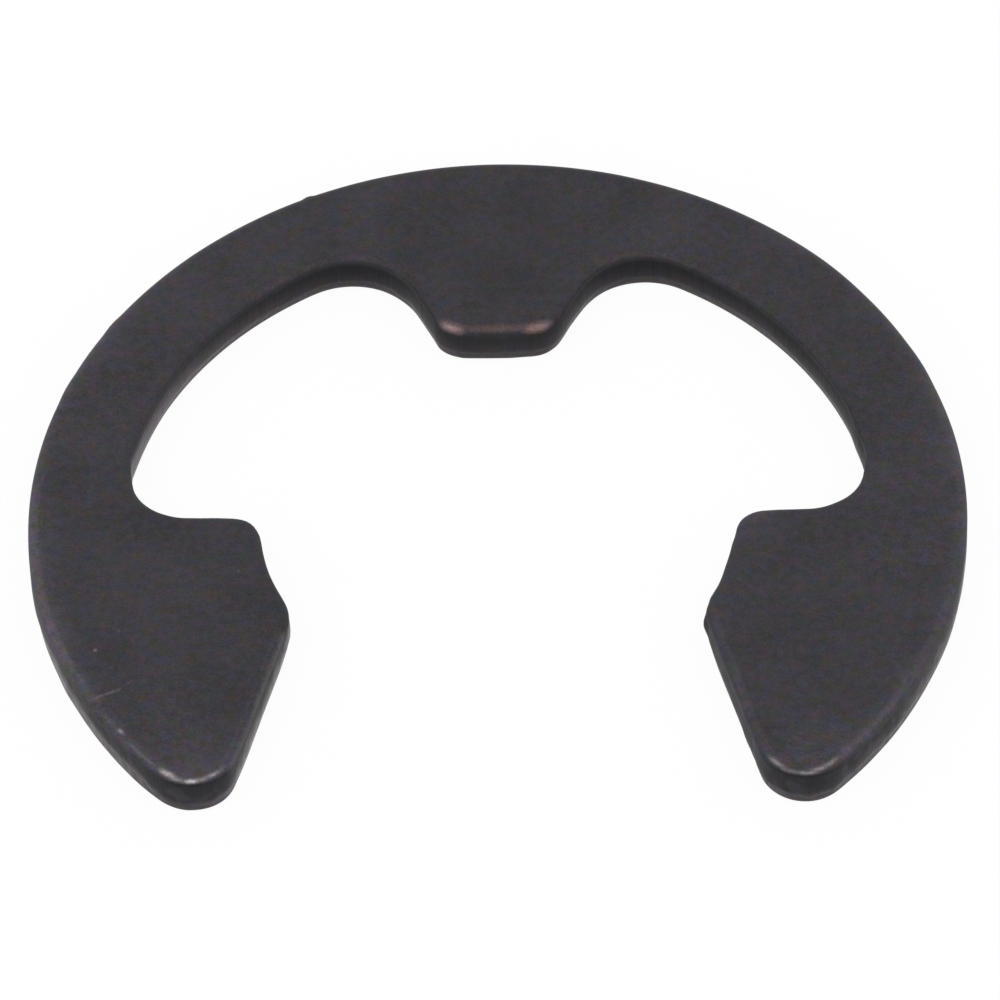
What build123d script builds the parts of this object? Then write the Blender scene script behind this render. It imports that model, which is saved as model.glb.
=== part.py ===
"""E-clip: a spring steel retaining ring that is pushed sideways into the groove of a shaft.

It is stamped from flat strip in one blow. The origin is on the shaft's axis, at the clip's
bottom face. +Z is the thickness direction, +Y points at the middle prong, and the mouth opens
towards -Y. Lengths are in millimetres and angles in degrees.
"""

from build123d import *
from math import cos, radians, sin, sqrt, tan
import os

# The shaft: the clip's seat is a little smaller than the groove, and its throat smaller still
groove_diameter = 15.0
grip = 0.1
snap = 2.05

# Outwards from the seat: how far back the relief window reaches, and the rim left behind it
relief_depth = 4.35
rim_width = 2.9

# Middle prong: a flat tip that touches the seat circle, and flanks that spread towards the rim
prong_tip_width = 3.34
prong_flank_angle = 27.5

# Mouth: how far each lead-in leans outwards from the centre line
lead_in_angle = 16.0

# Rounding of the plan's corners
prong_tip_round = 1.2
prong_root_round = 2.3
window_corner_round = 2.0
shoulder_round = 1.0
nose_round = 1.5
arm_end_round = 1.5

# Stamped section, from the punched face down: die roll, burnished wall, break, worn edge
thickness = 1.5
die_roll_radius = 0.25
break_height = 0.5
break_depth = 0.05
worn_edge_radius = 0.1

seat_radius = (groove_diameter - grip) / 2
throat_gap = groove_diameter - snap
window_radius = seat_radius + relief_depth
outer_radius = window_radius + rim_width

# A nose is the rounded corner between the seat and a lead-in. Its circle touches the seat circle
# from outside, and the two noses stand throat_gap apart.
nose_x = throat_gap / 2 + nose_round
nose_y = -sqrt((seat_radius + nose_round) ** 2 - nose_x**2)


def prong_half_width(y):
    """Distance from the centre line to the middle prong's flank, at height y in the plan."""
    return prong_tip_width / 2 + (y - seat_radius) * tan(radians(prong_flank_angle))


def mouth_half_width(y):
    """Distance from the centre line to a lead-in, the line that leaves the nose as a tangent."""
    tangent_x = nose_x - nose_round * cos(radians(lead_in_angle))
    tangent_y = nose_y - nose_round * sin(radians(lead_in_angle))
    return tangent_x + (tangent_y - y) * tan(radians(lead_in_angle))


def trapezoid(half_width, low_y, high_y):
    """The four corners of a shape that is symmetric about the centre line."""
    return [
        (-half_width(low_y), low_y),
        (half_width(low_y), low_y),
        (half_width(high_y), high_y),
        (-half_width(high_y), high_y),
    ]


def corners(sketch, level):
    """The sketch's corners at one height, counted upwards from the mouth."""
    return sketch.vertices().group_by(Axis.Y)[level]


# The relief window lets the arms flex: the upper half of a disc, less the middle prong.
with BuildSketch() as window:
    Circle(window_radius)
    split(bisect_by=Plane.XZ, keep=Keep.BOTTOM)
    with BuildLine():
        Polyline(trapezoid(prong_half_width, seat_radius, outer_radius), close=True)
    make_face(mode=Mode.SUBTRACT)

# The mouth starts at the shaft's axis, inside the seat circle, and leaves the blank below.
with BuildSketch() as mouth:
    with BuildLine():
        Polyline(trapezoid(mouth_half_width, -outer_radius, 0), close=True)
    make_face()

# The plan with sharp corners, then its corners rounded from the top down, so that those still
# to come keep their level: arm ends 0, noses 1, shoulders and window corners 2, tip 3, roots 4.
with BuildSketch() as plan:
    Circle(outer_radius)
    Circle(seat_radius, mode=Mode.SUBTRACT)
    add(window.sketch, mode=Mode.SUBTRACT)
    add(mouth.sketch, mode=Mode.SUBTRACT)
    fillet(corners(plan, 4), prong_root_round)
    fillet(corners(plan, 3), prong_tip_round)
    fillet(corners(plan, 2).sort_by(SortBy.DISTANCE)[2:], window_corner_round)
    fillet(corners(plan, 2).sort_by(SortBy.DISTANCE)[:2], shoulder_round)
    fillet(corners(plan, 1), nose_round)
    fillet(corners(plan, 0), arm_end_round)

# The punched face is on top. The blow draws its edges down in a round die roll and shears a
# straight wall, and the steel breaks away inwards below that. Tumbling wears the lowest edge.
with BuildPart() as clip:
    add(plan.sketch)
    extrude(amount=thickness)
    fillet(clip.faces().sort_by(Axis.Z)[-1].edges(), die_roll_radius)
    bottom_face = clip.faces().sort_by(Axis.Z)[0]
    chamfer(bottom_face.edges(), break_depth, break_height, reference=bottom_face)
    fillet(clip.faces().sort_by(Axis.Z)[0].edges(), worn_edge_radius)

clip.part.label = "e_clip"
os.makedirs("parts", exist_ok=True)
export_step(clip.part, "parts/e_clip.step")
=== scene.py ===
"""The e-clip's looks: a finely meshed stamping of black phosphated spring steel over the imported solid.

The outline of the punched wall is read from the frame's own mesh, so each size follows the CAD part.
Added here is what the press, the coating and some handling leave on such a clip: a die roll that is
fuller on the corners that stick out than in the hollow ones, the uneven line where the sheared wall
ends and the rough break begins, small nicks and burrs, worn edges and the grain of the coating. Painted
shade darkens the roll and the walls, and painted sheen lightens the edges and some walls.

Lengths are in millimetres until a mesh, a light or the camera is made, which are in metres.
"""

from math import cos, pi, radians, sin
from types import SimpleNamespace

import bpy
import numpy as np
from mathutils import Matrix, Vector, noise
from mathutils.geometry import delaunay_2d_cdt


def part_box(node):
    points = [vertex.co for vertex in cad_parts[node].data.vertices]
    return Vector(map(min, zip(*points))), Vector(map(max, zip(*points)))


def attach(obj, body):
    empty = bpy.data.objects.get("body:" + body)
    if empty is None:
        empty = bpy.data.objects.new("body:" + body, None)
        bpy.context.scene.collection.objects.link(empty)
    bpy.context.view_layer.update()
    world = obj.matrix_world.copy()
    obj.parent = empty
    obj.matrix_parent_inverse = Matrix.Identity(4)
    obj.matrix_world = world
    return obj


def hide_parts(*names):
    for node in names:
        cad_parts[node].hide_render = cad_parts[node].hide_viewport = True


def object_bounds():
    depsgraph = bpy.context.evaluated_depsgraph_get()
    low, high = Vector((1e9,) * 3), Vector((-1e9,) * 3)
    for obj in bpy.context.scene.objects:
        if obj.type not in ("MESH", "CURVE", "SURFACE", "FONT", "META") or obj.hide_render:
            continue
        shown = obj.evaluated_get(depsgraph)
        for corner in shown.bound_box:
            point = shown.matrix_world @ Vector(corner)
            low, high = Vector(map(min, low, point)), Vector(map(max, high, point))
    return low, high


MM = 0.001

# Reading the frame: how little a wall's normal may rise, how little two levels may differ, and the digits
# to which two places in the plan are one
UPRIGHT = 1e-3
LEVEL = 1e-4
PLACE_DIGITS = 3

# The mesh: spacing along the outline, and of the points inside a flat face, which keep a margin to its ring
OUTLINE_STEP = 0.1
FACE_STEP = 0.5
FACE_MARGIN = 0.3

# Rings of the mesh on each part of the section, and spacing of those beside the flat faces. For the border of
# the upper face: how many spacings each lies from the roll, and how much painted sheen lightens it along
# the rim
ROLL_RINGS = 11
SHEAR_RINGS = 10
BREAK_RINGS = 8
WORN_RINGS = 4
SUPPORT = 0.06
BORDER_RINGS = ((4, 0.15), (2, 0.25), (1, 0.35))

# Stamped section, where the outline is straight
ROLL_WIDTH = 0.28
ROLL_DEPTH = 0.2
BREAK_HEIGHT = 0.5
BREAK_WAVE = 0.07
BREAK_DEPTH = 0.06
BREAK_ROUGHNESS = 0.03
WORN_EDGE = 0.14

# How far above the break line the grey of the torn steel reaches, thinning out, and how far below the face
# the sheared wall is fully black
TORN_REACH = 0.58
BLACK_TO = 0.31

# Parts of the outline: a line from start to end, and the reach in which its zone fades out. An arm's nose is
# its corner at the mouth, its flank runs from there to its end, and its front is the rim next to its end
PARTS = {
    "prong": ((0.0, 7.4), (0.0, 7.4), 3.2),
    "left_end": ((-9.3, -10.6), (-9.3, -10.6), 2.6),
    "right_end": ((9.3, -10.6), (9.3, -10.6), 2.6),
    "left_nose": ((-6.5, -3.9), (-6.5, -3.9), 1.8),
    "right_nose": ((6.5, -3.9), (6.5, -3.9), 1.8),
    "left_flank": ((-8.0, -9.7), (-6.7, -5.0), 1.2),
    "right_flank": ((8.0, -9.7), (6.7, -5.0), 1.2),
    "left_front": ((-14.1, -4.4), (-11.2, -9.6), 1.6),
    "right_front": ((14.1, -4.4), (11.2, -9.6), 1.6),
    "left_rim": ((-14.7, 0.0), (-13.6, -5.6), 2.5),
}

# What each point of the mesh tells the material, mostly from 0 to 1: the sheared wall's black, partly
# its coat's own and partly painted shade, which starts on the roll; the torn break, painted lighter on
# some side walls; metal rubbed bare, a brown tinge in the rub, wall left dull, and a paler coat, from
# patches of tone and from painted sheen along edges and walls, which is below 0 where it is darker, and up
# to 2 on the rim
SHARES = ("cut_and_shade", "torn", "worn", "brown", "dull", "pale_and_sheen")


# ---------------------------------------------------------------- outline

def plan_key(place):
    """A name for a place in the plan, the same for all corners of the mesh that meet there."""
    return round(place[0], PLACE_DIGITS), round(place[1], PLACE_DIGITS)


def top_of_wall(mesh):
    """The points round the top of the punched wall, in no order, with their normals and neighbours."""
    vertex = np.empty(len(mesh.loops), int)
    mesh.loops.foreach_get("vertex_index", vertex)
    place = np.empty(len(mesh.vertices) * 3)
    mesh.vertices.foreach_get("co", place)
    place = place.reshape(-1, 3) / MM
    normal = np.array([n.vector for n in mesh.corner_normals])
    upright = np.abs(normal[:, 2]) < UPRIGHT
    top = np.abs(place[:, 2] - place[vertex[upright], 2].max()) < LEVEL
    number, points, normals = {}, [], []
    for corner in np.flatnonzero(upright & top[vertex]):
        key = plan_key(place[vertex[corner]])
        if key not in number:
            number[key] = len(points)
            points.append(place[vertex[corner], :2])
            normals.append(np.zeros(2))
        normals[number[key]] = normals[number[key]] + normal[corner, :2]
    neighbours = [set() for _ in points]
    for edge in mesh.edges:
        if all(top[v] for v in edge.vertices):
            i, j = (number[plan_key(place[v])] for v in edge.vertices)
            if i != j:
                neighbours[i].add(j)
                neighbours[j].add(i)
    return np.array(points), np.array(normals), neighbours


def wall_outline(mesh):
    """The points round the top of the punched wall in order, in mm, and the wall's outward normal at each."""
    points, normals, neighbours = top_of_wall(mesh)
    order = [0]
    while len(order) < len(points):
        left = [n for n in neighbours[order[-1]] if n not in order]
        order.append(min(left, key=lambda n: np.hypot(*(points[n] - points[order[-1]]))))
    points, normals = points[order], normals[order]
    normals = normals / np.linalg.norm(normals, axis=1)[:, None]
    ahead = np.roll(points, -1, 0)
    if np.sum(points[:, 0] * ahead[:, 1] - ahead[:, 0] * points[:, 1]) < 0:
        points, normals = points[::-1], normals[::-1]
    return points, normals


def refine(points, normals, step):
    """The same closed outline in smooth arcs through the points, with a point about every step."""
    place, facing = [], []
    for i in range(len(points)):
        j = (i + 1) % len(points)
        p, q = points[i], points[j]
        t, u = (np.array((-n[1], n[0])) for n in (normals[i], normals[j]))
        chord = np.linalg.norm(q - p)
        pull = chord / cos(np.arccos(np.clip(t @ u, -1, 1)) / 4) ** 2
        parts = max(1, round(chord / step))
        for s in np.arange(parts) / parts:
            place.append(
                (2 * s**3 - 3 * s**2 + 1) * p
                + (s**3 - 2 * s**2 + s) * pull * t
                + (3 * s**2 - 2 * s**3) * q
                + (s**3 - s**2) * pull * u
            )
            along = (
                (6 * s**2 - 6 * s) * (p - q)
                + (3 * s**2 - 4 * s + 1) * pull * t
                + (3 * s**2 - 2 * s) * pull * u
            )
            along /= np.linalg.norm(along)
            facing.append((along[1], -along[0]))
    return np.array(place), np.array(facing)


def bend(points, normals, reach):
    """How sharply the outline turns within reach of each point, in 1/mm, positive where it sticks out."""
    length = np.linalg.norm(np.roll(points, -1, 0) - points, axis=1)
    after = np.roll(normals, -1, 0)
    across = normals[:, 0] * after[:, 1] - normals[:, 1] * after[:, 0]
    turn = np.arctan2(across, np.sum(normals * after, 1))
    sums = (np.concatenate(([0], np.cumsum(steps))) for steps in (length, turn))
    along, total = (np.concatenate((s[:-1] - s[-1], s[:-1], s + s[-1])) for s in sums)
    here = along[len(points): 2 * len(points)]
    before = np.interp(here - reach / 2, along, total)
    return (np.interp(here + reach / 2, along, total) - before) / reach


# ---------------------------------------------------------------- shares

def beside(points, start, end, reach):
    """1 on the line from start to end, falling to 0 at reach from it."""
    start, run = np.array(start), np.subtract(end, start)
    share = np.clip((points - start) @ run / max(run @ run, 1e-9), 0, 1)
    away = np.linalg.norm(points - start - share[:, None] * run, axis=1) / reach
    return np.clip(1 - away**2, 0, 1) ** 2


def near(points, x, y, reach):
    """1 at the point (x, y), falling to 0 at reach from it."""
    return beside(points, (x, y), (x, y), reach)


def smooth(value, start, end):
    """0 up to start and 1 from end, with an easy curve between them."""
    share = np.clip((value - start) / (end - start), 0, 1)
    return share * share * (3 - 2 * share)


def bell(value, middle, width):
    """1 at the middle, falling away smoothly on both sides of it over the width."""
    return np.exp(-(((value - middle) / width) ** 2))


def grain(places, cell, seed):
    """Smooth noise from -1 to 1 at each place, with lumps about one cell wide."""
    shift = Vector((seed * 3.7, seed * 1.3, seed * 7.9))
    return np.array([noise.noise(Vector(p) / cell + shift) for p in places])


def by_zone(zone, start, **changes):
    """start, plus each change as far as a point belongs to the zone that it is named after."""
    for name, change in changes.items():
        start = start + change * getattr(zone, name)
    return start


# ---------------------------------------------------------------- faults, wear and marks

# Small faults of the punched outline: x, y, reach, and how far it is pushed out, or in where below 0
OUTLINE_FAULTS = (
    (-6.13, 13.47, 0.28, 0.07),
    (-12.3, 8.1, 0.6, 0.03),
    (-13.65, 5.4, 0.8, 0.025),
    (-14.35, -3.4, 3.0, 0.036),
    (14.2, -4.0, 2.2, 0.028),
    (-11.0, 0.6, 0.9, -0.05),
    (-11.54, 1.8, 0.8, 0.075),
    (11.1, 0.7, 0.85, -0.06),
    (11.56, 1.78, 0.6, 0.045),
    (-11.2, 3.4, 2.4, 0.03),
    (11.34, 3.35, 0.8, 0.05),
    (7.4, -0.85, 0.6, -0.045),
    (-7.78, -0.2, 0.5, 0.035),
    (6.8, -3.0, 0.9, -0.045),
    (6.52, -3.72, 0.3, -0.03),
    (-7.1, -2.3, 1.2, -0.02),
    (-7.3, -7.1, 2.2, -0.035),
    (7.35, -7.3, 2.4, -0.03),
    (7.71, -9.07, 0.2, -0.03),
    (-1.85, 7.85, 0.6, 0.035),
    (1.04, 7.45, 0.7, -0.033),
    (2.8, 9.5, 1.3, 0.04),
    (-3.1, 10.0, 0.9, 0.022),
    (-8.5, -10.4, 0.9, 0.03),
    (-10.4, -10.35, 1.0, -0.026),
    (10.3, 0.2, 1.0, -0.038),
    (-10.3, 0.15, 0.9, -0.03),
    (10.7, -9.9, 1.3, -0.028),
    (11.6, -8.9, 1.0, -0.014),
    (10.6, 10.2, 2.0, 0.024),
    (13.44, 5.95, 1.2, 0.022),
    (2.03, 8.31, 0.7, 0.026),
    (-13.4, -5.9, 0.8, 0.024),
    (7.64, -8.2, 0.5, 0.022),
)

# Burrs on the wall alone: x, y, height, reach, and how far out they are pushed
WALL_BURRS = (
    (6.45, -4.19, 0.86, 0.35, 0.095),
    (-6.48, -4.0, 0.72, 0.35, 0.022),
    (11.42, 2.5, 0.4, 0.75, 0.046),
)

# Where the rolled edge is rubbed: start and end of the line, its reach, how bare it is, and as shares of the
# roll how far down that is and how wide
RUBBED = (
    ((-10.3, -10.41), (-10.15, -10.5), 0.4, 0.85, 0.27, 0.2),
    ((-9.95, -10.63), (-9.85, -10.66), 0.45, 0.48, 0.4, 0.2),
    ((-9.45, -10.7), (-9.3, -10.7), 0.3, 0.95, 0.46, 0.17),
    ((-9.1, -10.67), (-9.0, -10.65), 0.4, 0.48, 0.4, 0.2),
    ((-8.75, -10.53), (-8.6, -10.45), 0.35, 0.62, 0.34, 0.15),
    ((-8.42, -10.3), (-8.35, -10.25), 0.3, 0.25, 0.35, 0.2),
    ((-12.2, -8.1), (-11.75, -8.75), 0.35, 0.13, 0.2, 0.16),
    ((-11.3, -9.3), (-10.75, -9.95), 0.4, 0.25, 0.25, 0.13),
    ((-11.83, -8.8), (-11.82, -8.82), 0.18, 0.75, 0.1, 0.14),
    ((-12.68, -7.44), (-12.68, -7.44), 0.16, 0.2, 0.0, 0.3),
    ((-8.15, -9.9), (-6.7, -5.0), 0.5, 0.24, 0.75, 0.32),
    ((8.35, -10.25), (8.5, -10.4), 0.45, 0.46, 0.37, 0.18),
    ((8.75, -10.55), (9.1, -10.67), 0.35, 0.32, 0.5, 0.17),
    ((9.4, -10.7), (9.6, -10.7), 0.45, 0.5, 0.48, 0.16),
    ((9.85, -10.66), (9.95, -10.63), 0.45, 0.5, 0.31, 0.18),
    ((10.2, -10.5), (10.4, -10.35), 0.42, 0.44, 0.25, 0.18),
    ((10.7, -10.1), (12.6, -7.6), 0.4, 0.1, 0.25, 0.3),
    ((-1.6, 7.6), (-1.45, 7.52), 0.6, 0.52, 0.52, 0.3),
    ((1.27, 7.51), (1.4, 7.6), 0.7, 0.46, 0.52, 0.3),
    ((0.0, 7.4), (0.0, 7.4), 2.6, 0.175, 0.4, 0.26),
)

# Where the faces are paler, or darker where the strength is below 0: x, y, reach and strength
TONE_PATCHES = (
    (-9.3, -10.2, 2.4, 0.6),
    (9.4, -10.2, 2.4, 0.55),
    (8.2, -0.6, 1.6, 0.35),
    (-13.2, 5.5, 4.5, 0.25),
    (13.2, 1.5, 4.5, 0.2),
    (0.0, 10.4, 3.6, -0.17),
    (-10.4, -7.8, 2.5, 0.3),
    (-7.5, -4.9, 1.6, 0.25),
    (13.2, -1.9, 2.0, 0.32),
    (13.6, -6.0, 1.4, -0.25),
    (1.4, 12.5, 1.9, -0.22),
)

# Scratches in the upper face: start, end, half the width, and how bare
SCRATCHES = (
    ((-12.2, -7.19), (-11.58, -6.93), 0.12, 0.28),
    ((-11.52, -6.82), (-11.2, -6.56), 0.11, 0.11),
    ((-11.9, -1.8), (-11.84, -5.0), 0.1, 0.06),
    ((-9.95, 9.25), (-9.6, 9.47), 0.08, 0.1),
    ((-12.05, -6.12), (-11.8, -6.05), 0.12, 0.12),
)

# The part of the first one that runs on over the border of the face: start, end, reach, and how bare
BORDER_SCRATCH = ((-12.4, -7.27), (-12.1, -7.15), 0.11, 0.26)

# Across a scratch: place in half widths, height, and share of its bareness
SCRATCH_PROFILE = ((-1, 0, 0), (-0.5, -0.002, 0.4), (0, -0.006, 1), (0.5, -0.002, 0.4), (1, 0, 0))
SCRATCH_STEP = 0.05

# Pits in the upper face: x, y, radius, and how bare
SPECKS = (
    (-12.46, -5.39, 0.08, 0.38),
    (-11.9, -4.52, 0.08, 0.2),
    (-11.75, -4.62, 0.08, 0.23),
    (-7.78, -8.9, 0.04, 0.4),
    (-8.06, -2.27, 0.07, 0.16),
)

# From the middle of a pit: its depth, then at each reach its height, all in radii, and share of its bareness
SPECK_DEPTH = 0.2
SPECK_PROFILE = ((0.6, -0.15, 0.8), (1.2, 0, 0))


def rubbed(points, share):
    """How bare each point of the roll is, at a share of the way from the face to the wall."""
    amount = np.zeros(len(points))
    for start, end, reach, strength, middle, width in RUBBED:
        across = bell(share, middle, width)
        amount = np.maximum(amount, strength * across * beside(points, start, end, reach))
    return amount


def tone_patches(points):
    """How much paler the face is at each point, or darker where it is below 0."""
    return sum(strength * near(points, x, y, reach) for x, y, reach, strength in TONE_PATCHES)


def with_faults(points, normals):
    """The outline with its small faults."""
    for x, y, reach, push in OUTLINE_FAULTS:
        points = points + normals * (push * near(points, x, y, reach))[:, None]
    return points


def with_burrs(points, normals, height):
    """The outline at one height of the wall, with the burrs on it."""
    for x, y, level, reach, push in WALL_BURRS:
        tall = np.clip(1 - ((height - level) / reach) ** 2, 0, 1)
        points = points + normals * (push * tall * near(points, x, y, reach))[:, None]
    return points


def scratch_points(start, end, width, bare):
    """Points along a scratch from bank to bank, each with its height on the face and how bare it is."""
    start, run = np.array(start), np.subtract(end, start)
    length = np.linalg.norm(run)
    side = np.array((-run[1], run[0])) / length
    found = []
    for share in np.linspace(0, 1, round(length / SCRATCH_STEP) + 1):
        depth = sin(pi * share) ** 0.5
        for across, height, amount in SCRATCH_PROFILE:
            x, y = start + share * run + across * width * side
            found.append((x, y, height * depth, amount * bare * depth))
    return found


def speck_points(x, y, radius, bare):
    """A tiny pit in the coating: its bottom, its flank and its rim."""
    found = [(x, y, -SPECK_DEPTH * radius, bare)]
    for reach, height, amount in SPECK_PROFILE:
        for angle in np.arange(6) * pi / 3:
            place = (x + reach * radius * cos(angle), y + reach * radius * sin(angle))
            found.append((*place, height * radius, amount * bare))
    return found


def face_marks():
    """Every marked point of the upper face: x, y, height on the face, and how bare."""
    found = []
    for scratch in SCRATCHES:
        found += scratch_points(*scratch)
    for speck in SPECKS:
        found += speck_points(*speck)
    return np.array(found)


# ---------------------------------------------------------------- section

def inside_cutout(points):
    """1 on the walls of the window, the prong and the seat, falling to 0 towards the mouth and the rim."""
    away = np.hypot(points[:, 0], points[:, 1])
    return smooth(-away, -13.2, -12.6) * smooth(points[:, 1], -5.4, -3.8)


def find_zones(points, normals):
    """How far each point of the outline is in each zone, from 0 to 1, and turn, its bend, from -1 to 1."""
    zone = SimpleNamespace(**{name: beside(points, *part) for name, part in PARTS.items()})
    zone.ends = np.maximum(zone.left_end, zone.right_end)
    zone.noses = np.maximum(zone.left_nose, zone.right_nose)
    zone.inside = inside_cutout(points)
    zone.outside = 1 - zone.inside
    zone.left_half = smooth(-points[:, 0], -2.5, 0.5)
    zone.rim = smooth(np.hypot(points[:, 0], points[:, 1]), 13.2, 14.0)
    zone.rear = zone.inside * smooth(-normals[:, 1], 0.5, 0.85)
    zone.side = normals[:, 0] ** 2
    zone.side_of_rim = zone.side * zone.rim
    zone.side_of_arm = zone.side * (1 - zone.rim)
    zone.facing_right = np.clip(normals[:, 0], 0, 1) ** 4 * (1 - zone.inside * (1 - zone.left_half))
    zone.turn = np.tanh(2 * bend(points, normals, 0.9))
    return zone


def find_section(points, zone):
    """The section's sizes at each point of the outline, and the levels that its finish goes by."""
    flat = np.column_stack((points, np.zeros(len(points))))
    width = by_zone(zone, ROLL_WIDTH, turn=0.07, prong=0.14, ends=-0.02) + 0.02 * grain(flat, 1.3, 1)
    depth = by_zone(zone, ROLL_DEPTH, turn=0.06, prong=0.06, ends=-0.08) + 0.015 * grain(flat, 1.9, 6)
    line = BREAK_HEIGHT + BREAK_WAVE * grain(flat, 1.7, 2) + 0.5 * BREAK_WAVE * grain(flat, 0.45, 3)
    line = by_zone(zone, line, left_front=0.25)
    worn_edge = WORN_EDGE + zone.inside * (0.035 + 0.025 * zone.left_half)
    # Painted light and shade: the torn grey reaches higher on walls that face right, on the arms' sides and
    # on the left rim, and less high on the flanks
    torn_from = by_zone(zone, line + TORN_REACH, side_of_arm=0.25, right_flank=-0.3, left_flank=-0.35)
    torn_from = by_zone(zone, torn_from, facing_right=0.6, left_rim=0.15)
    wander = (0.1 + 0.9 * zone.outside) * (0.5 * grain(flat, 1.1, 8) + 0.15 * grain(flat, 0.4, 9))
    return SimpleNamespace(
        width=width,
        depth=depth,
        line=line,
        worn_edge=by_zone(zone, worn_edge, left_front=-0.04, right_front=-0.05),
        # Painted shade: the roll goes dark sooner on the ends and later on the prong
        black_to=by_zone(zone, BLACK_TO, ends=-0.17, prong=0.08),
        torn_from=torn_from,
        tear=torn_from - TORN_REACH + wander,
    )


def border_rings(points, normals, top, zone, section):
    """Rings in the flat face that support the rolled edge, with painted sheen along the rim, and a scratch
    over them.
    """
    start, end, reach, bare = BORDER_SCRATCH
    # Painted sheen: the face's border is painted lighter along the rim's sides, the left rim and both fronts
    painted_edge_sheen = by_zone(zone, zone.side_of_rim, left_rim=0.8, left_front=0.9, right_front=0.5)
    for supports, share in BORDER_RINGS:
        inset = section.width + supports * SUPPORT
        scored = bare * beside(points - normals * inset[:, None], start, end, reach)
        yield inset, top, {"worn": scored, "pale_and_sheen": share * painted_edge_sheen}


def roll_rings(points, top, zone, section):
    """The die roll, rubbed bare in places, with painted sheen on the rim's sides and fronts and paler flanks.
    """
    for share in np.linspace(0, 1, ROLL_RINGS):
        angle = pi / 2 * share
        worn = np.maximum(rubbed(points, share), 0.066 * zone.rear * bell(share, 0.25, 0.3))
        # Painted sheen: the roll is painted lighter on the rim's sides, the left rim and the fronts; paler
        # along the flanks
        pale_and_sheen = (0.5 + 0.9 * share) * zone.side * zone.rim
        pale_and_sheen = by_zone(zone, pale_and_sheen, left_rim=0.6, right_flank=0.4, left_flank=0.3)
        pale_and_sheen = pale_and_sheen + (1 - share) * (0.6 * zone.left_front + 0.3 * zone.right_front)
        inset = section.width * (1 - sin(angle))
        yield inset, top - section.depth * (1 - cos(angle)), {"worn": worn, "pale_and_sheen": pale_and_sheen, "torn": 0}


def wall_rings(points, top, zone, section):
    """The straight sheared wall, the rough break that leans inwards under it, and the worn lowest edge."""
    # Painted light: walls that face right inside the clip, the rim's sides and the left rim are painted
    # lighter
    pale_and_sheen = 0.8 * zone.inside * zone.facing_right**2 + 0.5 * zone.side**2 * zone.rim + 0.4 * zone.left_rim
    for share in np.arange(1, SHEAR_RINGS + 1) / SHEAR_RINGS:
        yield 0, (top - section.depth) * (1 - share) + section.line * share, {"pale_and_sheen": pale_and_sheen}
    for share in np.arange(1, BREAK_RINGS + 1) / BREAK_RINGS:
        height = section.line * (1 - share) + section.worn_edge * share
        here = np.column_stack((points, height))
        rough = BREAK_ROUGHNESS * (1 + grain(here, 0.22, 4) + 0.6 * grain(here, 0.1, 5)) / 2
        foot = BREAK_DEPTH * share**1.5 + np.clip(rough, 0, None) * sin(pi * share) ** 0.8
        yield foot, height, {"pale_and_sheen": pale_and_sheen}
    for share in np.arange(1, WORN_RINGS + 1) / WORN_RINGS:
        angle = pi / 2 * share
        inset = foot + section.worn_edge * (1 - cos(angle))
        yield inset, section.worn_edge * (1 - sin(angle)), {"cut_and_shade": 1 - share, "torn": 1}
    yield foot + section.worn_edge + SUPPORT, 0, {"cut_and_shade": 0, "torn": 0}


def torn_share(points, height, cut_and_shade, zone, section):
    """How grey the torn wall is: more towards its foot, ragged and patchy on the outer walls, and less on the
    ends and fronts as painted shade.
    """
    ramp = np.clip(section.torn_from - height, 0, 1) ** 1.6
    torn = ramp + 0.45 * zone.outside * (smooth(section.tear - height, -0.14, 0.2) - ramp)
    patches = np.clip(grain(np.column_stack((points, height)), 0.26, 7), -1, 0.2)
    # Painted shade: less grey on the ends and the fronts
    most = 1 - 0.35 * np.maximum(zone.ends, zone.right_front) - 0.15 * zone.left_front * (1 - zone.ends)
    return torn * (cut_and_shade == 1) * most * (1 + 0.6 * zone.outside * patches)


def most_darkening(points, height, top, zone):
    """How black the wall and the painted shade on the roll get: less on the prong and one flank, a little
    less low on the ends, and in soft blotches outside.
    """
    blotches = smooth(grain(np.column_stack((points, height)), 0.35, 10), 0.05, 0.45)
    most = by_zone(zone, 1, prong=-0.2, right_flank=-0.2) - 0.06 * zone.ends * smooth(top - height, 0.2, 0.5)
    return most * (1 - 0.3 * zone.outside * blotches * smooth(top - height, 0.2, 0.4))


def section_rings(points, normals, top):
    """The section swept round the outline: for each ring its places and the shares of its points."""
    zone = find_zones(points, normals)
    section = find_section(points, zone)
    every = np.ones(len(points))
    rings = []
    for inset, height, given in (
        *border_rings(points, normals, top, zone, section),
        *roll_rings(points, top, zone, section),
        *wall_rings(points, top, zone, section),
    ):
        height = height * every
        place = with_burrs(points, normals, height) - normals * (inset * every)[:, None]
        # Painted shade: from just under the face the coat darkens down the roll into the black of the sheared
        # wall
        cut_and_shade = given.get("cut_and_shade", smooth(top - height, 0.01, section.black_to))
        shares = {
            "cut_and_shade": cut_and_shade * most_darkening(points, height, top, zone),
            "torn": given.get("torn", torn_share(points, height, cut_and_shade, zone, section)),
            "worn": given.get("worn", 0),
            "brown": np.maximum(zone.prong, 0.8 * zone.rear * (1 - zone.prong)),
            "dull": zone.inside * (1 - zone.noses) + 0.75 * zone.right_flank,
            "pale_and_sheen": tone_patches(points) + given.get("pale_and_sheen", 0),
        }
        table = np.column_stack([shares[name] * every for name in SHARES])
        rings.append((np.column_stack((place, height)), table))
    return rings


# ---------------------------------------------------------------- mesh

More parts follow.
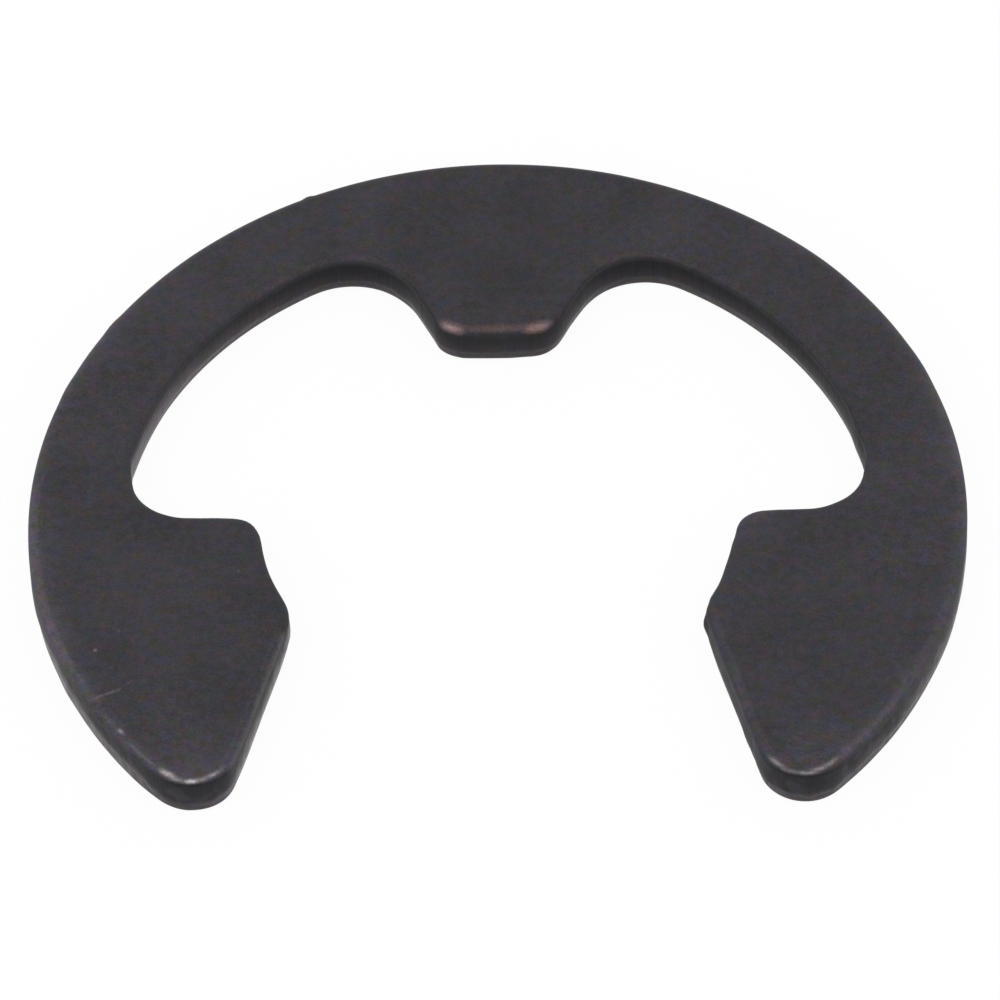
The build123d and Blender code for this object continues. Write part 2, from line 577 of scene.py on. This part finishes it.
def inner_points(ring, normals):
    """Points on a triangle grid inside a ring of the outline, clear of it by the face margin."""
    low, high = ring.min(0), ring.max(0)
    rows = np.arange(low[1], high[1], FACE_STEP * sin(radians(60)))
    grid = [
        (x + FACE_STEP / 2 * (n % 2), y)
        for n, y in enumerate(rows)
        for x in np.arange(low[0], high[0], FACE_STEP)
    ]
    kept = []
    for p in np.array(grid):
        gap = p - ring
        nearest = np.argmin(np.sum(gap**2, 1))
        if gap[nearest] @ normals[nearest] < 0 and np.linalg.norm(gap[nearest]) > FACE_MARGIN:
            kept.append(p)
    return np.array(kept)


def fill_face(ring, inside):
    """Triangles over the area inside a ring, through the points inside it, numbered ring first."""
    places = [Vector(p) for p in np.vstack((ring, inside))]
    found = delaunay_2d_cdt(places, [], [list(range(len(ring)))], 1, 1e-6)
    source = [origins[0] for origins in found[3]]
    return [[source[v] for v in triangle] for triangle in found[2]]


def make_face(ring, normals, marks):
    """A flat face inside a ring: the places of its own points, their shares, and its triangles."""
    outline = ring[:, :2]
    inside = np.vstack((inner_points(outline, normals), marks[:, :2]))
    plain = np.zeros(len(inside) - len(marks))
    share = dict.fromkeys(SHARES, np.zeros(len(inside)))
    share["worn"] = np.concatenate((plain, marks[:, 3]))
    share["pale_and_sheen"] = tone_patches(inside)
    height = ring[0, 2] + np.concatenate((plain, marks[:, 2]))
    table = np.column_stack([share[name] for name in SHARES])
    return np.column_stack((inside, height)), table, fill_face(outline, inside)


def make_mesh(name, rings, normals):
    """The closed stamping from its rings, with a flat face inside the first and the last ring."""
    count, last = len(normals), len(rings) - 1
    places, shares = map(list, zip(*rings))
    faces = []
    for start in range(0, last * count, count):
        for i in range(count):
            j = (i + 1) % count
            faces.append((start + i, start + count + i, start + count + j, start + j))
    for ring, marks in ((0, face_marks()), (last, np.empty((0, 4)))):
        inside, table, triangles = make_face(places[ring], normals, marks)
        start = sum(len(p) for p in places)
        places.append(inside)
        shares.append(table)
        for triangle in triangles:
            corners = [ring * count + v if v < count else start + v - count for v in triangle]
            faces.append(corners if ring == 0 else corners[::-1])
    mesh = bpy.data.meshes.new(name)
    mesh.from_pydata(np.vstack(places) * MM, [], faces)
    for column, attribute in enumerate(SHARES):
        values = np.vstack(shares)[:, column].astype(np.float32)
        mesh.attributes.new(attribute, "FLOAT", "POINT").data.foreach_set("value", values)
    mesh.shade_smooth()
    mesh.update()
    return mesh


def make_clip(node):
    """The stamping over the CAD node."""
    low, high = (np.array(corner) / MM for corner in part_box("e_clip"))
    points, normals = refine(*wall_outline(node.data), OUTLINE_STEP)
    points = np.clip(with_faults(points, normals), low[:2], high[:2])
    mesh = make_mesh("clip_stamping", section_rings(points, normals, high[2]), normals)
    clip = bpy.data.objects.new("clip_stamping", mesh)
    bpy.context.scene.collection.objects.link(clip)
    return clip


# ---------------------------------------------------------------- materials

# Colours of the coat on the face, on the sheared wall, whose black is partly painted shade, and on the torn
# wall, and of the steel where it is rubbed
FACE_BLACK = (0.0274, 0.0243, 0.0306, 1)
WALL_BLACK_AND_SHADE = (0.0042, 0.0038, 0.0056, 1)
TORN_GREY = (0.0365, 0.0275, 0.0335, 1)
RUBBED_GREY = (0.30, 0.27, 0.28, 1)
RUBBED_BROWN = (0.47, 0.25, 0.23, 1)
BARE_STEEL = (0.48, 0.44, 0.45, 1)

# The two ends of each tinge of the coat, to multiply its colour by, and in metres how far the lumps of the
# second tinge are moved from those of the first
YELLOWISH = (1.0, 1.05, 0.56, 1)
BLUISH = (1.0, 0.95, 1.44, 1)
GREENISH = (0.67, 1.07, 1.0, 1)
REDDISH = (1.33, 0.93, 1.0, 1)
TINGE_SHIFT = (0.31, 0.17, 0.23)

# Sizes of the lumps in the coat, and how far the streaks on the wall are drawn out along the punch's stroke
CLOUD, PATCH, TINGE, FINE, STREAK = 2.4, 0.3, 0.5, 0.08, 0.06
STREAK_SCALE = (1, 1, 0.04)

# Gloss: lowest and highest roughness, and how much wall left dull, torn steel and bare metal change it
FACE_ROUGH = (0.38, 0.50)
WALL_ROUGH = (0.56, 0.68)
DULL_ROUGH = 0.1
TORN_SMOOTH = 0.3
BARE_SMOOTH = 0.08
COAT_SPECULAR = 0.24
GRAIN_DEPTH = 0.004


def add_node(tree, kind, inputs=None, **settings):
    """A node with its settings, and its inputs by name or number: a value, or another node's output."""
    made = tree.nodes.new(kind)
    for name, value in settings.items():
        setattr(made, name, value)
    for name, value in (inputs or {}).items():
        if isinstance(value, bpy.types.NodeSocket):
            tree.links.new(value, made.inputs[name])
        else:
            made.inputs[name].default_value = value
    return made


def new_material(name):
    """An empty material, and its node tree."""
    material = bpy.data.materials.new(name)
    material.use_nodes = True
    material.node_tree.nodes.clear()
    return material, material.node_tree


def lumps(tree, place, cell, detail=2.0, rough=0.5):
    """Noise from 0 to 1 with lumps about one cell wide, in mm."""
    inputs = {"Vector": place, "Scale": 1 / (cell * MM), "Detail": detail, "Roughness": rough}
    return add_node(tree, "ShaderNodeTexNoise", inputs).outputs["Fac"]


def moved(tree, place, **change):
    """The place, moved or scaled."""
    return add_node(tree, "ShaderNodeMapping", {"Vector": place, **change}).outputs["Vector"]


def spread(tree, value, low, high, start, end):
    """value from low..high mapped to start..end, held at the ends."""
    inputs = {"Value": value, "From Min": low, "From Max": high, "To Min": start, "To Max": end}
    return add_node(tree, "ShaderNodeMapRange", inputs).outputs["Result"]


def math(tree, operation, *values):
    """The result of one operation on values or outputs."""
    made = add_node(tree, "ShaderNodeMath", dict(enumerate(values)), operation=operation)
    return made.outputs["Value"]


def plus(tree, first, second):
    """The sum of two values or outputs."""
    return math(tree, "ADD", first, second)


def minus(tree, first, second):
    """The first value or output less the second."""
    return math(tree, "SUBTRACT", first, second)


def times(tree, first, second):
    """The product of two values or outputs."""
    return math(tree, "MULTIPLY", first, second)


def tinted(tree, colour, by):
    """A colour multiplied by another colour or a value."""
    return add_node(tree, "ShaderNodeVectorMath", {0: colour, 1: by}, operation="MULTIPLY").outputs[0]


def mix_colour(tree, share, first, second):
    """The first colour where the share is 0, the second where it is 1, and both between."""
    return add_node(tree, "ShaderNodeMix", {0: share, 6: first, 7: second}, data_type="RGBA").outputs[2]


def share_of(tree, name):
    """One of the shares that each point of the mesh carries."""
    return add_node(tree, "ShaderNodeAttribute", attribute_name=name).outputs["Fac"]


def coat_tinge(tree, place):
    """The faint blue, green and red clouds of a phosphate coat, as a colour near 1 to multiply by."""
    cooler = lumps(tree, place, TINGE, 3.0, 0.68)
    warmer = lumps(tree, moved(tree, place, Location=TINGE_SHIFT), TINGE, 3.0, 0.68)
    blue = mix_colour(tree, spread(tree, cooler, 0.3, 0.7, 0, 1), YELLOWISH, BLUISH)
    red = mix_colour(tree, spread(tree, warmer, 0.3, 0.7, 0, 1), GREENISH, REDDISH)
    return tinted(tree, blue, red)


def coat_shade(tree, place, fine, pale_and_sheen):
    """How light the coat is, as a value near 1: its grain, patches and clouds, areas of paler and darker
    tone, and painted sheen along edges and walls.
    """
    patch = lumps(tree, place, PATCH)
    cloud = lumps(tree, place, CLOUD)
    shade = spread(tree, fine, 0.25, 0.75, 0.65, 1.35)
    shade = plus(tree, shade, spread(tree, patch, 0.3, 0.7, -0.18, 0.18))
    shade = plus(tree, shade, spread(tree, cloud, 0.3, 0.7, -0.2, 0.2))
    return times(tree, shade, plus(tree, 1.0, pale_and_sheen))


def coat_colour(tree, place, fine, share):
    """The coat on the face, on the sheared wall and on the torn break, with its tinge and shade, painted
    light and shade included.
    """
    colour = mix_colour(tree, share["cut_and_shade"], FACE_BLACK, WALL_BLACK_AND_SHADE)
    colour = mix_colour(tree, share["torn"], colour, TORN_GREY)
    colour = tinted(tree, colour, coat_tinge(tree, place))
    return tinted(tree, colour, coat_shade(tree, place, fine, share["pale_and_sheen"]))


def metal_colour(tree, bare, brown):
    """The steel where the coat is rubbed: brighter the barer it is, or brown."""
    metal = mix_colour(tree, spread(tree, bare, 0.15, 0.6, 0, 1), RUBBED_GREY, BARE_STEEL)
    return mix_colour(tree, brown, metal, RUBBED_BROWN)


def coat_roughness(tree, fine, streak, share):
    """Satin on the face, dull and streaky on the sheared wall, and smoother again where it is torn."""
    face = spread(tree, fine, 0.3, 0.7, *FACE_ROUGH)
    wall = spread(tree, streak, 0.3, 0.7, *WALL_ROUGH)
    wall = plus(tree, wall, times(tree, share["dull"], DULL_ROUGH))
    wall = minus(tree, wall, times(tree, share["torn"], TORN_SMOOTH))
    face = times(tree, face, minus(tree, 1.0, share["cut_and_shade"]))
    return plus(tree, face, times(tree, wall, share["cut_and_shade"]))


def coat_relief(tree, fine, streak, share):
    """The normal over the coat's grain, coarser where the wall is torn, and over the wall's streaks."""
    grains = times(tree, fine, plus(tree, 1.0, times(tree, share["torn"], 3.0)))
    height = plus(tree, grains, times(tree, streak, times(tree, share["cut_and_shade"], 0.4)))
    inputs = {"Height": height, "Strength": 0.5, "Distance": GRAIN_DEPTH * MM}
    return add_node(tree, "ShaderNodeBump", inputs).outputs["Normal"]


def black_spring_steel():
    """Phosphated and oiled spring steel, satin black, worn to bare metal on its sharpest corners."""
    material, tree = new_material("black_spring_steel")
    share = {name: share_of(tree, name) for name in SHARES}
    place = add_node(tree, "ShaderNodeTexCoord").outputs["Object"]
    fine = lumps(tree, place, FINE, 3.0, 0.6)
    streak = lumps(tree, moved(tree, place, Scale=STREAK_SCALE), STREAK, 3.0, 0.6)
    rub = times(tree, share["worn"], spread(tree, fine, 0.3, 0.7, 0.7, 1.25))
    bare = spread(tree, rub, 0.04, 1.0, 0, 0.9)
    coat = coat_colour(tree, place, fine, share)
    rough = coat_roughness(tree, fine, streak, share)
    inputs = {
        "Base Color": mix_colour(tree, bare, coat, metal_colour(tree, bare, share["brown"])),
        "Metallic": bare,
        "Roughness": minus(tree, rough, times(tree, bare, BARE_SMOOTH)),
        "Specular IOR Level": COAT_SPECULAR,
        "Normal": coat_relief(tree, fine, streak, share),
    }
    shader = add_node(tree, "ShaderNodeBsdfPrincipled", inputs)
    add_node(tree, "ShaderNodeOutputMaterial", {"Surface": shader.outputs["BSDF"]})
    return material


# ---------------------------------------------------------------- studio

# Floor: its colour, how far that is lifted to white where it is seen, and in metres how far it reaches and
# how far it lies under the clip
FLOOR_WHITE = (0.92, 0.92, 0.92, 1)
FLOOR_LIFT = 0.95
FLOOR_REACH = 2.0
FLOOR_GAP = 0.00002

# Light: strength of the white tent, and the two soft panels, in degrees, metres and watts
WORLD_LIGHT = 0.8
PANEL_ELEVATION = 50
PANEL_DISTANCE = 0.7
PANEL_WIDTH = 0.6
PANEL_LENGTH = 0.5
LEFT_WATTS = 1.1
RIGHT_WATTS = 0.75

# Camera, in mm and degrees: what it looks at, from how far and how high, how far it is turned and rolled
# from straight in front of the mouth, and its lens
CAMERA_AIM = (0.055, 1.698, 0.0)
CAMERA_DISTANCE = 314.2
CAMERA_ELEVATION = 49.93
CAMERA_YAW = -1.445
CAMERA_ROLL = -1.965
CAMERA_LENS = 358.93
CAMERA_SENSOR = 36
CAMERA_NEAR = 10


def seen_directly(tree):
    """1 for what the camera sees, straight or in a gloss or through glass, and 0 for the light it gives."""
    path = add_node(tree, "ShaderNodeLightPath")
    either = math(tree, "MAXIMUM", path.outputs["Is Camera Ray"], path.outputs["Is Glossy Ray"])
    return math(tree, "MAXIMUM", either, path.outputs["Is Transmission Ray"])


def floor_paper():
    """White paper, lifted almost to plain white where it is seen, with the object's soft shadow kept."""
    material, tree = new_material("floor_paper")
    paper = add_node(tree, "ShaderNodeBsdfDiffuse", {"Color": FLOOR_WHITE})
    white = add_node(tree, "ShaderNodeEmission", {"Color": (1, 1, 1, 1), "Strength": 1.0})
    lift = times(tree, seen_directly(tree), FLOOR_LIFT)
    both = add_node(tree, "ShaderNodeMixShader", {0: lift, 1: paper.outputs[0], 2: white.outputs[0]})
    add_node(tree, "ShaderNodeOutputMaterial", {"Surface": both.outputs[0]})
    return material


def make_world():
    """An even white tent: plain white where it is seen, and a little under 1 as light."""
    world = bpy.data.worlds.new("white_tent")
    world.use_nodes = True
    tree = world.node_tree
    tree.nodes.clear()
    strength = spread(tree, seen_directly(tree), 0, 1, WORLD_LIGHT, 1.0)
    sky = add_node(tree, "ShaderNodeBackground", {"Color": (1, 1, 1, 1), "Strength": strength})
    add_node(tree, "ShaderNodeOutputWorld", {"Surface": sky.outputs[0]})
    bpy.context.scene.world = world


def make_floor(level):
    """A white floor just under the clip."""
    signs = ((-1, -1), (1, -1), (1, 1), (-1, 1))
    corners = [(x * FLOOR_REACH, y * FLOOR_REACH, level - FLOOR_GAP) for x, y in signs]
    mesh = bpy.data.meshes.new("floor")
    mesh.from_pydata(corners, [], [(0, 1, 2, 3)])
    mesh.materials.append(floor_paper())
    floor = bpy.data.objects.new("floor", mesh)
    bpy.context.scene.collection.objects.link(floor)


def add_panel(name, azimuth, watts):
    """A soft rectangular light that faces the clip, from an azimuth in degrees from +X."""
    light = bpy.data.lights.new(name, "AREA")
    light.shape = "RECTANGLE"
    light.size = PANEL_WIDTH
    light.size_y = PANEL_LENGTH
    light.energy = watts
    a, e = radians(azimuth), radians(PANEL_ELEVATION)
    direction = Vector((cos(a) * cos(e), sin(a) * cos(e), sin(e)))
    lamp = bpy.data.objects.new(name, light)
    lamp.location = direction * PANEL_DISTANCE
    lamp.rotation_euler = direction.to_track_quat("Z", "Y").to_euler()
    bpy.context.scene.collection.objects.link(lamp)


def make_camera():
    """A long lens that looks down on the clip from in front of its mouth."""
    e, yaw, roll = (radians(a) for a in (CAMERA_ELEVATION, CAMERA_YAW, CAMERA_ROLL))
    back = Vector((-sin(yaw) * cos(e), -cos(yaw) * cos(e), sin(e)))
    level_right = Vector((cos(yaw), -sin(yaw), 0))
    level_up = level_right.cross(-back)
    right = level_right * cos(roll) + level_up * sin(roll)
    up = level_up * cos(roll) - level_right * sin(roll)
    data = bpy.data.cameras.new("camera")
    data.sensor_width = CAMERA_SENSOR
    data.lens = CAMERA_LENS
    data.clip_start = CAMERA_NEAR * MM
    camera = bpy.data.objects.new("camera", data)
    turn = Matrix((right, up, back)).transposed().to_4x4()
    camera.matrix_world = Matrix.Translation((Vector(CAMERA_AIM) + back * CAMERA_DISTANCE) * MM) @ turn
    bpy.context.scene.collection.objects.link(camera)
    bpy.context.scene.camera = camera


# ---------------------------------------------------------------- scene

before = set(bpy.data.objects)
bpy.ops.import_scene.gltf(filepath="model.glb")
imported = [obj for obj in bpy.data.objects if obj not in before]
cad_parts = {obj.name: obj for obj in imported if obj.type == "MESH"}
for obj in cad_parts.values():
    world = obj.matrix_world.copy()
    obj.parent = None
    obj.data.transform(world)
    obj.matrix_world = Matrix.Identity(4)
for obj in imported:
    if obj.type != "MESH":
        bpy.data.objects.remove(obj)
cad_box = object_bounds()

clip = make_clip(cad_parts["e_clip"])
clip.data.materials.append(black_spring_steel())
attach(clip, "root")
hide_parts("e_clip")

make_world()
make_floor(cad_box[0][2])
add_panel("left_panel", -135, LEFT_WATTS)
add_panel("right_panel", -50, RIGHT_WATTS)
make_camera()
bpy.context.scene.view_settings.view_transform = "Standard"
